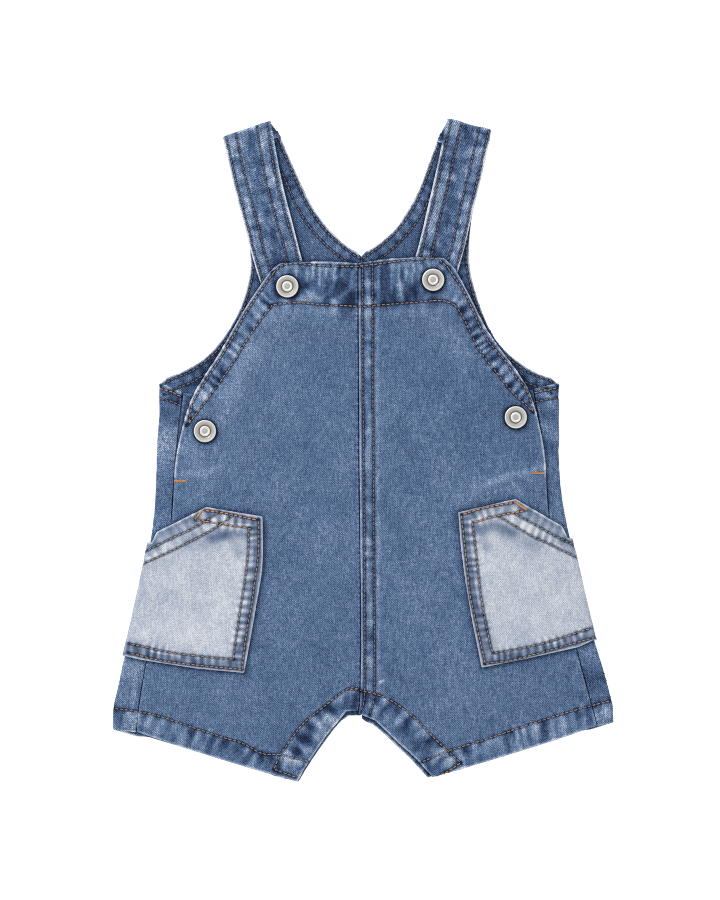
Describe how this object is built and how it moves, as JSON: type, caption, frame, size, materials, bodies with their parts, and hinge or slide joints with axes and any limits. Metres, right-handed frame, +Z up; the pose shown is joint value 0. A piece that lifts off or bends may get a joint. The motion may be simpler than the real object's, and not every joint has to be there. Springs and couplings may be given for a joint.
{
  "type": "baby overalls",
  "caption": "Short-legged baby overalls in worn blue denim, lying flat face up, with shoulder straps folded over, faded patch pockets round the sides and round metal snaps.",
  "frame": {"origin": "on the surface that the garment lies on, under the middle of its box", "axes": "+X to the right across the front as it is seen, +Y from the leg hems to the shoulders, +Z up from the surface, out of the front"},
  "size_m": [0.331, 0.4376, 0.0097],
  "materials": {
    "denim": "stone-washed blue twill, pale along its seams and edges, tan stitching",
    "faded_denim": "the same twill, bleached almost white in the middle",
    "snap_metal": "dull nickel with a bright rim"
  },
  "bodies": {
    "root": {"back_left": "denim", "back_right": "denim", "front_left": "denim", "front_right": "denim", "placket_left": "denim", "placket_right": "denim", "strap_left": "denim", "strap_right": "denim", "pocket_left": "faded_denim", "pocket_right": "faded_denim", "snap_bib_left": "snap_metal", "snap_bib_right": "snap_metal", "snap_side_left": "snap_metal", "snap_side_right": "snap_metal"}
  },
  "joints": []
}
